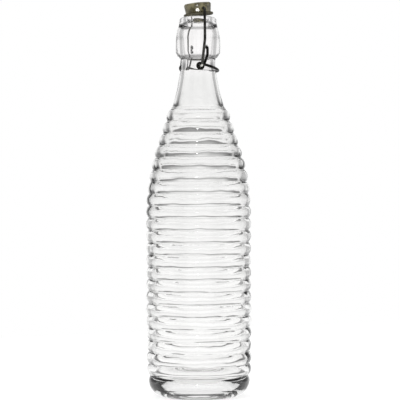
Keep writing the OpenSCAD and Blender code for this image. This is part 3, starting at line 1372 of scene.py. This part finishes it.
@dataclass
class BentWire:
    """A wire bent from one length, the same on both sides of the plane y = 0.

    Attributes:
        closure: Sizes of the closure.
        sides: Sides of the round wire.
        end_bevel: Share of the radius that is rounded off at a cut end.
        end_clear: Bevels from the end within which the path has no other points.
        sharp: Angle from which an edge counts as sharp.
    """

    closure: Closure
    sides: int = 24
    end_bevel: float = 0.35
    end_clear: float = 1.5
    sharp: float = 50.0

    def side(self) -> list[Vector]:
        """Path from the middle of the wire to its end, on the -Y side."""
        raise NotImplementedError

    def cut_end(self, end: Vector, before: Vector) -> list[tuple[Vector, float]]:
        """Points that round off a cut end.

        Args:
            end: End of the wire.
            before: Point before it.

        Returns:
            The points, from the end inwards, and the share of the radius at each.
        """
        back = (before - end).normalized() * (self.closure.wire_r * self.end_bevel)
        turns = [math.radians(a) for a in (90, 60, 30, 0)]
        return [(end + back * (1 - math.sin(a)), 1 - self.end_bevel * (1 - math.cos(a)))
                for a in turns]

    def build(self, name: str, tree: bpy.types.NodeTree,
              finish: bpy.types.Material) -> bpy.types.Object:
        """Makes the wire.

        Args:
            name: Name of the piece.
            tree: Tree that draws wires.
            finish: Material of the wire.

        Returns:
            The wire.
        """
        side = self.side()
        path = [Vector((p.x, -p.y, p.z)) for p in reversed(side[1:])] + side
        clear = self.closure.wire_r * self.end_bevel * self.end_clear
        middle = [(p, 1.0) for p in path[1:-1]
                  if min((p - path[0]).length, (p - path[-1]).length) > clear]
        line = self.cut_end(*path[:2]) + middle + self.cut_end(*path[:-3:-1])[::-1]
        mesh = line_mesh(name + "_path", [p * MM for p, _ in line],
                         {"thickness": [share for _, share in line]})
        wire = grow(name, mesh, tree, {
            "Radius": self.closure.wire_r * MM, "Sides": self.sides, "Material": finish})
        dress(wire, finish, self.sharp)
        return wire


@dataclass
class LockingLever(BentWire):
    """The lever: thumb bow, an eye on each side, two kneed legs and the pivot ends."""

    def side(self) -> list[Vector]:
        """Bends the wire from the middle of the bow to its end in the dimple, on the -Y side.

        Returns:
            The points of its path.
        """
        c = self.closure
        bow = math.radians(c.bow_angle)
        eye, ring = c.eye, c.eye_ring_r
        knee_h = c.glass.pivot_h - c.knee_drop
        far = math.hypot(-eye[0], knee_h - eye[1])
        straight = math.sqrt(far * far - ring * ring)
        lean = math.degrees(math.atan2(knee_h - eye[1], -eye[0]) + math.asin(ring / far))
        start_x = eye[0] + ring * math.sin(bow)
        start_z = eye[1] + ring * math.cos(bow)
        reach = c.glass.groove_r + c.bow_gap + c.wire_r
        middle = (reach, start_z - (reach - start_x) * math.tan(bow))
        knee_cut = c.gentle_r * math.tan(math.radians((90 - lean) / 2))
        wire = WirePath(Matrix.Translation((middle[0], 0, middle[1]))
                        @ Matrix.Rotation(bow, 4, "Y") @ Matrix.Rotation(math.pi, 4, "X"))
        wire.bend(90, c.bow_r)
        wire.run((reach - start_x) / math.cos(bow) - c.bow_r)
        wire.twist(90)
        wire.bend(180 + lean + c.bow_angle, ring, c.leg_y - c.bow_r)
        wire.run(straight - knee_cut)
        wire.bend(90 - lean, c.gentle_r)
        wire.run(c.knee_drop - knee_cut - c.tight_r)
        wire.twist(-90)
        wire.bend(90, c.tight_r)
        wire.run(c.leg_y - c.tight_r - (c.glass.collar_r - c.pivot_reach))
        return wire.points


@dataclass
class BailWire(BentWire):
    """The bail: cross wire through the stopper, slanting and straight legs, and hooks."""

    def side(self) -> list[Vector]:
        """Bends the wire from the middle of the cross wire to the hook's end, on the -Y side.

        Returns:
            The points of its path.
        """
        c = self.closure
        corner_r, hook_r = c.wire_d, c.tight_r
        rise = (c.cross[0] - c.eye[0], c.cross[1] - c.eye[1])
        length = math.hypot(*rise)
        corner_y = c.head_r + c.boss_out + c.bail_corner_out
        slant = math.degrees(math.atan2(c.bail_y - corner_y, length - c.bail_leg_h))
        corner_cut = corner_r * math.tan(math.radians((90 - slant) / 2))
        slant_cut = c.gentle_r * math.tan(math.radians(slant / 2))
        slanting = (c.bail_y - corner_y) / math.sin(math.radians(slant)) - corner_cut - slant_cut
        wire = WirePath(Matrix.Translation((c.cross[0], 0, c.cross[1]))
                        @ Matrix.Rotation(math.atan2(*rise), 4, "Y")
                        @ Matrix.Rotation(math.pi, 4, "Z")
                        @ Matrix.Rotation(math.radians(-90), 4, "Y"))
        wire.run(corner_y - corner_cut)
        wire.bend(90 - slant, corner_r)
        wire.run(slanting)
        wire.bend(slant, c.gentle_r)
        wire.run(c.bail_leg_h - slant_cut - hook_r)
        wire.bend(90, hook_r)
        wire.run(c.bail_y - hook_r - (c.bow_r - c.wire_r - c.wire_gap))
        return wire.points


# ---------------------------------------------------------------- the stopper


@dataclass
class Stopper:
    """The moulded head with its bosses, stem and plug, and the rubber gasket under it."""

    closure: Closure
    head_foot_r: float = 10.4
    head_above: float = 5.8
    head_below: float = 3.1
    head_round: float = 1.9
    foot_round: float = 0.35
    crown_rise: float = 0.8
    crown_curve: float = 1.25
    boss_r: float = 3.2
    boss_round: float = 0.3
    hole_flare: float = 0.25
    lean: float = 6.5
    gasket_r: float = 12.2
    gasket_t: float = 2.6
    stem_r: float = 4.4
    stem_round: float = 0.3
    plug_r: float = 5.6
    plug_h: float = 4.0
    plug_tip_share: float = 0.78
    gate_r: float = 1.7
    gate_out: float = 10.91
    gate_angle: float = -115.0
    gate_tilt: float = -3.0
    gate_h: float = -0.33
    press: float = 0.35
    press_soft: float = 0.25
    segments: int = 96
    tool_segments: int = 48
    head_sharp: float = 32.0
    gasket_sharp: float = 60.0

    @property
    def place(self) -> Matrix:
        """Puts what is drawn about the cross wire in its place, with the lean.

        Returns:
            The transform.
        """
        x, z = self.closure.cross
        return (Matrix.Translation((x * MM, 0, z * MM))
                @ Matrix.Rotation(math.radians(-self.lean), 4, "Y"))

    def plug_outline(self) -> list[Pair]:
        """Outline of the plug and the stem.

        Returns:
            The points, from the tip of the plug up to the head.
        """
        top = -self.head_below - self.gasket_t - self.closure.turn_clear
        tip_h, tip_r = top - self.plug_h, self.plug_r * self.plug_tip_share
        tip_in, tip_out, tip_up = 0.9, 0.05, 0.6
        wide_from, wide_to, rim_in, step = 1.5, 0.5, 0.4, 0.1
        plug = flowing([(0, tip_h), (tip_r - tip_in, tip_h), (tip_r + tip_out, tip_h + tip_up),
                        (self.plug_r, top - wide_from), (self.plug_r, top - wide_to),
                        (self.plug_r - rim_in, top), (self.stem_r + self.stem_round, top)],
                       steps=4)
        return plug + [(self.stem_r, top + step), (self.stem_r, -self.head_below - step),
                       (self.stem_r + self.stem_round, -self.head_below)]

    def head_outline(self) -> list[Pair]:
        """Outline of the whole moulding.

        Returns:
            The points, from the tip of the plug up to the middle of the crown.
        """
        head_r, foot = self.closure.head_r, self.foot_round
        rim = arc((self.head_foot_r - foot, -self.head_below + foot), foot, -90, 0, steps=4)
        edge_c = (head_r - self.head_round, self.head_above - self.crown_rise - self.head_round)
        edge = arc(edge_c, self.head_round, 0, 80, steps=10)
        side = [(self.head_foot_r + (head_r - self.head_foot_r) * t,
                 rim[-1][1] + (edge[0][1] - rim[-1][1]) * t) for t in (0.25, 0.5, 0.75)]
        last_r, last_h = edge[-1]
        steps = 8
        crown = []
        for i in range(1, steps + 1):
            t = 1 - i / steps
            rise = (self.head_above - last_h) * (1 - t ** self.crown_curve)
            crown.append((last_r * t, last_h + rise))
        return self.plug_outline() + rim + side + edge + crown

    def boss_outline(self) -> list[Pair]:
        """Outline of the two bosses, which are one rod through the head.

        Returns:
            The points, about the cross wire.
        """
        out, soft = self.closure.head_r + self.closure.boss_out, self.boss_round
        return both_sides([(0.0, out), (self.boss_r - soft, out)]
                          + arc((self.boss_r - soft, out - soft), soft, 90, 0, steps=4)[1:])

    def hole_outline(self) -> list[Pair]:
        """Outline of the hole for the cross wire, flared at both ends.

        Returns:
            The points, about the cross wire.
        """
        c, flare = self.closure, self.hole_flare
        out, hole_r = c.head_r + c.boss_out, c.wire_r + c.turn_clear
        past, spread = 1, 0.6
        return both_sides([(0.0, out + past), (hole_r + flare + spread, out + past),
                           (hole_r + flare, out), (hole_r, out - flare)])

    def gate_outline(self) -> list[Pair]:
        """Outline of the flat mark that the mould's gate left, a little proud of the head.

        Returns:
            The points, with the head's middle at the bottom. The ring of points near the edge
            of its face keeps the face flat under smooth shading.
        """
        soft, flat, root = 0.1, 0.25, 3
        face = self.gate_out
        return ([(0.0, face - root), (self.gate_r, face - root)]
                + arc((self.gate_r - soft, face - soft), soft, 0, 90, steps=3)
                + [(self.gate_r - flat, face), (0.0, face)])

    def head(self, lathe: bpy.types.NodeTree, finish: bpy.types.Material) -> bpy.types.Object:
        """Makes the head: the turned form, the bosses, the gate's mark and the hole.

        Args:
            lathe: Tree that turns outlines.
            finish: Material of the head.

        Returns:
            The head.
        """
        head = turned("moulded_head", self.head_outline(), lathe, self.segments, finish)
        across = Matrix.Rotation(math.radians(90), 4, "X")
        to_gate = (Matrix.Translation((0, 0, self.gate_h * MM))
                   @ Matrix.Rotation(math.radians(self.gate_angle), 4, "Z")
                   @ Matrix.Rotation(math.radians(90 - self.gate_tilt), 4, "Y"))
        for name, points, work, turn in (("boss", self.boss_outline(), Work.JOIN, across),
                                         ("gate", self.gate_outline(), Work.JOIN, to_gate),
                                         ("hole", self.hole_outline(), Work.CUT, across)):
            tool = turned(name + "_tool", points, lathe, self.tool_segments, finish)
            tool.data.transform(turn)
            apply_tool(head, tool, work)
        dress(head, finish, self.head_sharp)
        head.data.transform(self.place)
        return head

    def gasket_outline(self) -> list[Pair]:
        """Closed outline of the gasket at rest, about the cross wire.

        Returns:
            The points, with the first one again as the last.
        """
        low, high = -self.head_below - self.gasket_t, -self.head_below
        edge = self.gasket_t / 2
        rim = arc((self.gasket_r - edge, low + edge), edge, -90, 90, steps=18)
        first_r, last_r = rim[0][0], rim[-1][0]
        under = [(self.stem_r + (first_r - self.stem_r) * t, low) for t in (0, 0.2, 0.4, 0.6, 0.8)]
        over = [(last_r + (self.stem_r - last_r) * t, high) for t in (0.25, 0.5, 0.75, 1)]
        return under + rim + over + [under[0]]

    def gasket(self, lathe: bpy.types.NodeTree, finish: bpy.types.Material) -> bpy.types.Object:
        """Makes the gasket, with its low side pressed by the lip.

        Args:
            lathe: Tree that turns outlines.
            finish: Material of the gasket.

        Returns:
            The gasket.
        """
        ring = turned("rubber_gasket", self.gasket_outline(), lathe, self.segments, finish)
        ring.data.transform(self.place)
        seat = (self.closure.glass.glass_h - self.press) * MM
        soft = self.press_soft * MM
        for vertex in ring.data.vertices:
            under = vertex.co.z - seat
            if under < soft:
                vertex.co.z = seat + soft * math.exp(min(under / soft - 1, 0.0))
        dress(ring, finish, self.gasket_sharp)
        return ring


# ---------------------------------------------------------------- the studio


@dataclass(frozen=True)
class Lamp:
    """A soft square lamp.

    Attributes:
        name: Name of the lamp.
        place: Where it hangs.
        size: Length of its side.
        power: Its power in watts.
        mirrored: Whether shiny surfaces show it.
    """

    name: str
    place: tuple[float, float, float]
    size: float
    power: float
    mirrored: bool = False

    def hang(self, target: Vector) -> None:
        """Hangs the lamp. Glass lets none of them show through.

        Args:
            target: Point that it shines on.
        """
        data = bpy.data.lights.new(self.name, "AREA")
        data.size = self.size
        data.energy = self.power
        lamp = put(self.name, data)
        lamp.location = self.place
        lamp.visible_glossy = self.mirrored
        lamp.visible_transmission = False
        ahead = target - Vector(self.place)
        lamp.rotation_euler = ahead.to_track_quat("-Z", "Y").to_euler()


@dataclass
class Studio:
    """Pale floor, white surround with darker strips beside it, soft lamps and the camera.

    Attributes:
        azimuth: Angle of the camera from the -Y side.
        distance: Distance of the camera from the bottle's axis.
        eye_height: Height of the camera.
        tilt: How far it looks down.
        roll: How far it is turned about its own axis.
        lens_px: Focal length in pixels of the photograph.
        frame_px: Width of the photograph.
        shift_px: Shift of the lens in pixels of the photograph.
        sensor: Width of the camera's sensor.
        strips: Number of dark strips round the bottle.
        strip_depth: Level of the strips.
        strip_edge: Wave of the strips between which their edges run.
        window: Height at which the cards above and below begin, and at which they are full.
        upper_card: Level of the card above.
        lower_card: Level of the card below.
        overhead: Height at which the ceiling begins, and at which it is full.
        overhead_level: Level of the ceiling and the ground.
        ambient: Level of the surround for matt surfaces.
        floor_half: Half the width of the floor.
        floor_drop: How far it lies below the bottle.
        floor_level: Its own colour, which the shadow falls on.
        floor_glow: What is added where it is looked at.
        floor_rough: Its roughness.
        target: Point that the lamps shine on.
        lamps: The lamps.
    """

    azimuth: float = -23.0
    distance: float = 1.5
    eye_height: float = 0.19
    tilt: float = 1.078
    roll: float = -0.2
    lens_px: float = 1819.0
    frame_px: float = 400.0
    shift_px: float = 1.45
    sensor: float = 36.0
    strips: float = 4.0
    strip_depth: float = 0.52
    strip_edge: Pair = (-0.75, 0.1)
    window: Pair = (0.13, 0.38)
    upper_card: float = 0.22
    lower_card: float = 0.5
    overhead: Pair = (0.5, 0.85)
    overhead_level: float = 0.8
    ambient: float = 0.55
    floor_half: float = 0.55
    floor_drop: float = 0.00003
    floor_level: float = 0.3
    floor_glow: float = 0.8
    floor_rough: float = 0.9
    target: tuple[float, float, float] = (0.0, 0.0, 0.18)
    lamps: Sequence[Lamp] = (
        Lamp("key_softbox", (-1.3, -1.2, 1.3), 0.9, 18.0),
        Lamp("fill_softbox", (1.4, -0.9, 0.9), 1.0, 9.0),
        Lamp("rear_softbox", (0.3, 1.6, 1.5), 1.1, 10.0),
        Lamp("front_glint", (-0.6385, -1.3034, 0.1519), 0.14, 2.4, mirrored=True))

    @staticmethod
    def grey(level: float) -> Colour:
        """Colour of a grey level."""
        return level, level, level, 1.0

    def camera(self) -> None:
        """Sets up the camera at the photograph's angle."""
        data = bpy.data.cameras.new("view_of_the_bottle")
        data.sensor_width = self.sensor
        data.lens = self.lens_px * self.sensor / self.frame_px
        data.shift_x = self.shift_px / self.frame_px
        camera = put("view_of_the_bottle", data)
        turn, tilt = math.radians(self.azimuth), math.radians(self.tilt)
        camera.location = (self.distance * math.sin(turn), -self.distance * math.cos(turn),
                           self.eye_height)
        ahead = Vector((-math.sin(turn) * math.cos(tilt), math.cos(turn) * math.cos(tilt),
                        -math.sin(tilt)))
        rolled = Matrix.Rotation(math.radians(self.roll), 3, "Z")
        camera.rotation_euler = (ahead.to_track_quat("-Z", "Y").to_matrix() @ rolled).to_euler()
        bpy.context.scene.camera = camera

    def surround(self) -> None:
        """Makes the world: white to look at, with a white window around the bottle at its own
        height, darker cards above and below it, and dark strips that edge the glass.
        """
        world = bpy.data.worlds.new("studio_surround")
        world.use_nodes = True
        bench = Bench(world.node_tree)
        parts = bench.parts(bench.add("ShaderNodeTexCoord").outputs["Generated"])
        heading = bench.math("ARCTAN2", parts[1], parts[0])
        turned_by = bench.math("SUBTRACT", heading, math.radians(90 + self.azimuth))
        wave = bench.math("COSINE", bench.math("MULTIPLY", turned_by, self.strips))
        strips = bench.band(wave, *self.strip_edge, self.strip_depth, 1.0)
        level, (near, far) = parts[2], self.window
        above = bench.band(level, near, far, 1.0, self.upper_card)
        below = bench.band(level, -near, -far, 1.0, self.lower_card)
        beside = bench.math("MULTIPLY", strips, bench.math("MULTIPLY", above, below))
        overhead = bench.band(bench.math("ABSOLUTE", level), *self.overhead)
        shaded = bench.tint(overhead, beside, self.grey(self.overhead_level))
        rays = bench.add("ShaderNodeLightPath").outputs
        seen = bench.tint(rays["Is Camera Ray"], shaded, self.grey(1.0))
        lit = bench.tint(rays["Is Diffuse Ray"], seen, self.grey(self.ambient))
        bench.set(world.node_tree.nodes["Background"].inputs["Color"], lit)
        bpy.context.scene.world = world

    def floor(self) -> None:
        """Lays the plain floor, which keeps the bottle's shadow."""
        half, down = self.floor_half, -self.floor_drop
        mesh = bpy.data.meshes.new("studio_floor")
        corners = [(x * half, y * half, down) for x, y in ((-1, -1), (1, -1), (1, 1), (-1, 1))]
        mesh.from_pydata(corners, [], [(0, 1, 2, 3)])
        material, bench, shader = bare_material("studio_floor_white")
        rays = bench.add("ShaderNodeLightPath").outputs
        seen = bench.math("MAXIMUM", rays["Is Camera Ray"], rays["Is Glossy Ray"])
        seen = bench.math("MAXIMUM", seen, rays["Is Transmission Ray"])
        for name, value in (("Base Color", self.grey(self.floor_level)),
                            ("Roughness", self.floor_rough), ("Specular IOR Level", 0.0),
                            ("Emission Color", self.grey(1.0)),
                            ("Emission Strength", bench.math("MULTIPLY", seen, self.floor_glow))):
            bench.set(shader.inputs[name], value)
        mesh.materials.append(material)
        put("studio_floor", mesh)

    def build(self) -> None:
        """Sets up the whole studio and the colour management."""
        bpy.context.scene.view_settings.view_transform = "Standard"
        self.camera()
        self.surround()
        self.floor()
        for lamp in self.lamps:
            lamp.hang(Vector(self.target))


# ---------------------------------------------------------------- assembly


def settle(piece: bpy.types.Object, body: Body, node: str) -> None:
    """Hands a finished piece to the frame.

    Args:
        piece: The piece.
        body: Body that it rides on.
        node: Node of the frame that it stands for.
    """
    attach(piece, body.value)
    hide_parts(node)
    log.info("%s: %d faces, rides on %s", piece.name, len(piece.data.polygons), body.value)


def main() -> None:
    """Builds the studio and each sub-assembly in order."""
    logging.basicConfig(level=logging.INFO, format="%(message)s")
    Studio().build()
    bottle = GlassBottle()
    closure = Closure(bottle)
    stopper = Stopper(closure)
    lathe, drawing = lathe_tree(), wire_tree()
    wear, dust = wear_group(), dust_group()
    glass, lever, bail, plastic, rubber = (finish.make(wear, dust) for finish in (
        ClearGlass("clear_bottle_glass"),
        DrawnSteel("lever_wire_steel", clean=(0.045, 0.044, 0.042, 1.0),
                   dull=(0.008, 0.008, 0.007, 1.0)),
        # The bail's steel gets a painted highlight on its hook bends, at the lever's eyes.
        DrawnSteel("bail_wire_steel", glint_line=closure.eye),
        MouldedPlastic("olive_brown_plastic"),
        GasketRubber("gasket_rubber")))
    settle(bottle.build(lathe, glass), Body.BOTTLE, "glass_bottle")
    settle(LockingLever(closure).build("lever_wire", drawing, lever), Body.LEVER,
           "locking_lever")
    settle(BailWire(closure).build("bail_bent_wire", drawing, bail), Body.BAIL,
           "bail_wire")
    settle(stopper.head(lathe, plastic), Body.STOPPER, "stopper_head")
    settle(stopper.gasket(lathe, rubber), Body.STOPPER, "stopper_gasket")


if __name__ == "__main__":
    main()
